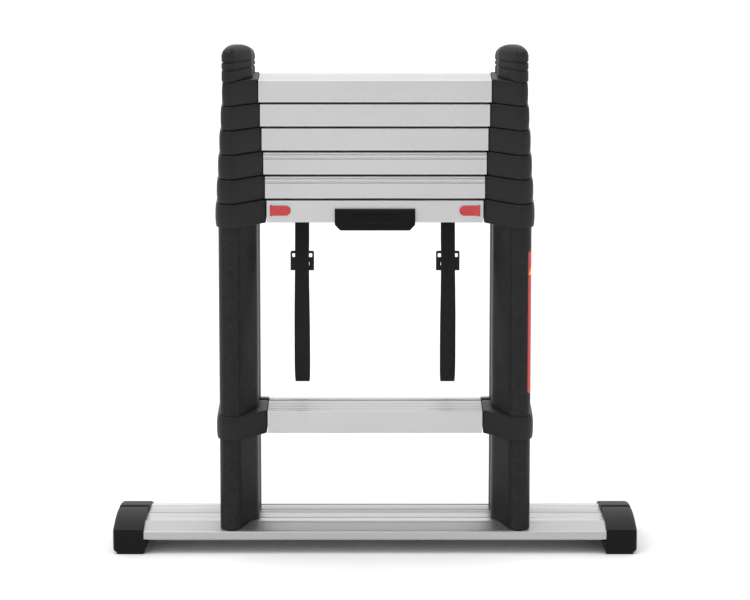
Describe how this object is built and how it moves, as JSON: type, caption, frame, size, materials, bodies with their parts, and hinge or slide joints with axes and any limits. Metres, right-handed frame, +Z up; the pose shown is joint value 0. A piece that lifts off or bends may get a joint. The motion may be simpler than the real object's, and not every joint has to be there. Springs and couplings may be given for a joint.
{
  "type": "telescopic combination ladder",
  "caption": "Closed telescopic A-frame ladder: two sections of nested dark stiles with flat aluminium treads, wide base bars and straps.",
  "frame": {"origin": "on the floor, at the middle of the closed ladder's footprint", "axes": "+X across the ladder to the viewer's right, +Y from the front section to the rear section, +Z up"},
  "size_m": [0.7386, 0.191, 0.7145],
  "materials": {
    "tread_aluminium": "satin extrusion",
    "bar_aluminium": "brushed extrusion",
    "stile_dark": "dark satin coating",
    "dark_plastic": "moulded, fine texture",
    "foot_rubber": "moulded rubber",
    "red_plastic": "satin",
    "steel": "zinc plated",
    "webbing": "woven polyester"
  },
  "bodies": {
    "front_base": {"front_bar": "bar_aluminium", "front_foot_left": "foot_rubber", "front_foot_right": "foot_rubber", "front_stile_1_left": "stile_dark", "front_stile_1_right": "stile_dark", "front_tread_1": "tread_aluminium", "front_tread_2": "tread_aluminium", "front_clamp_left": "dark_plastic", "front_clamp_right": "dark_plastic", "grip_handle": "dark_plastic", "strap_left": "webbing", "strap_right": "webbing", "strap_buckle_left": "dark_plastic", "strap_buckle_right": "dark_plastic"},
    "front_stage_2": {"front_stile_2_left": "stile_dark", "front_stile_2_right": "stile_dark", "front_tread_3": "tread_aluminium"},
    "front_stage_3": {"front_stile_3_left": "stile_dark", "front_stile_3_right": "stile_dark", "front_tread_4": "tread_aluminium"},
    "front_stage_4": {"front_stile_4_left": "stile_dark", "front_stile_4_right": "stile_dark", "front_tread_5": "tread_aluminium"},
    "front_stage_5": {"front_stile_5_left": "stile_dark", "front_stile_5_right": "stile_dark", "front_tread_6": "tread_aluminium"},
    "front_stage_6": {"front_stile_6_left": "stile_dark", "front_stile_6_right": "stile_dark", "front_tread_7": "tread_aluminium", "top_cap_left": "dark_plastic", "top_cap_right": "dark_plastic", "hinge_pin_left": "steel", "hinge_pin_right": "steel"},
    "rear_stage_6": {"rear_stile_6_left": "stile_dark", "rear_stile_6_right": "stile_dark", "rear_tread_7": "tread_aluminium"},
    "rear_stage_5": {"rear_stile_5_left": "stile_dark", "rear_stile_5_right": "stile_dark", "rear_tread_6": "tread_aluminium"},
    "rear_stage_4": {"rear_stile_4_left": "stile_dark", "rear_stile_4_right": "stile_dark", "rear_tread_5": "tread_aluminium"},
    "rear_stage_3": {"rear_stile_3_left": "stile_dark", "rear_stile_3_right": "stile_dark", "rear_tread_4": "tread_aluminium"},
    "rear_stage_2": {"rear_stile_2_left": "stile_dark", "rear_stile_2_right": "stile_dark", "rear_tread_3": "tread_aluminium"},
    "rear_base": {"rear_bar": "bar_aluminium", "rear_foot_left": "foot_rubber", "rear_foot_right": "foot_rubber", "rear_stile_1_left": "stile_dark", "rear_stile_1_right": "stile_dark", "rear_tread_1": "tread_aluminium", "rear_tread_2": "tread_aluminium"},
    "release_left": {"release_button_left": "red_plastic", "lock_bolt_left": "steel"},
    "release_right": {"release_button_right": "red_plastic", "lock_bolt_right": "steel"}
  },
  "joints": [
    {"name": "front_slide_2", "type": "slide", "parent": "front_base", "child": "front_stage_2", "axis": [0, 0, 1], "range_m": [0, 0.2664]},
    {"name": "front_slide_3", "type": "slide", "parent": "front_stage_2", "child": "front_stage_3", "axis": [0, 0, 1], "range_m": [0, 0.2664]},
    {"name": "front_slide_4", "type": "slide", "parent": "front_stage_3", "child": "front_stage_4", "axis": [0, 0, 1], "range_m": [0, 0.2664]},
    {"name": "front_slide_5", "type": "slide", "parent": "front_stage_4", "child": "front_stage_5", "axis": [0, 0, 1], "range_m": [0, 0.2664]},
    {"name": "front_slide_6", "type": "slide", "parent": "front_stage_5", "child": "front_stage_6", "axis": [0, 0, 1], "range_m": [0, 0.2664]},
    {"name": "frame_hinge", "type": "hinge", "parent": "front_stage_6", "child": "rear_stage_6", "pos_m": [0, 0, 0.7], "axis": [1, 0, 0], "range_deg": [0, 35]},
    {"name": "rear_slide_6", "type": "slide", "parent": "rear_stage_6", "child": "rear_stage_5", "axis": [0, 0, -1], "range_m": [0, 0.2664]},
    {"name": "rear_slide_5", "type": "slide", "parent": "rear_stage_5", "child": "rear_stage_4", "axis": [0, 0, -1], "range_m": [0, 0.2664]},
    {"name": "rear_slide_4", "type": "slide", "parent": "rear_stage_4", "child": "rear_stage_3", "axis": [0, 0, -1], "range_m": [0, 0.2664]},
    {"name": "rear_slide_3", "type": "slide", "parent": "rear_stage_3", "child": "rear_stage_2", "axis": [0, 0, -1], "range_m": [0, 0.2664]},
    {"name": "rear_slide_2", "type": "slide", "parent": "rear_stage_2", "child": "rear_base", "axis": [0, 0, -1], "range_m": [0, 0.2664]},
    {"name": "release_left_slide", "type": "slide", "parent": "front_base", "child": "release_left", "axis": [1, 0, 0], "range_m": [0, 0.008], "stiffness_N_per_m": 300},
    {"name": "release_right_slide", "type": "slide", "parent": "front_base", "child": "release_right", "axis": [-1, 0, 0], "range_m": [0, 0.008], "stiffness_N_per_m": 300}
  ]
}
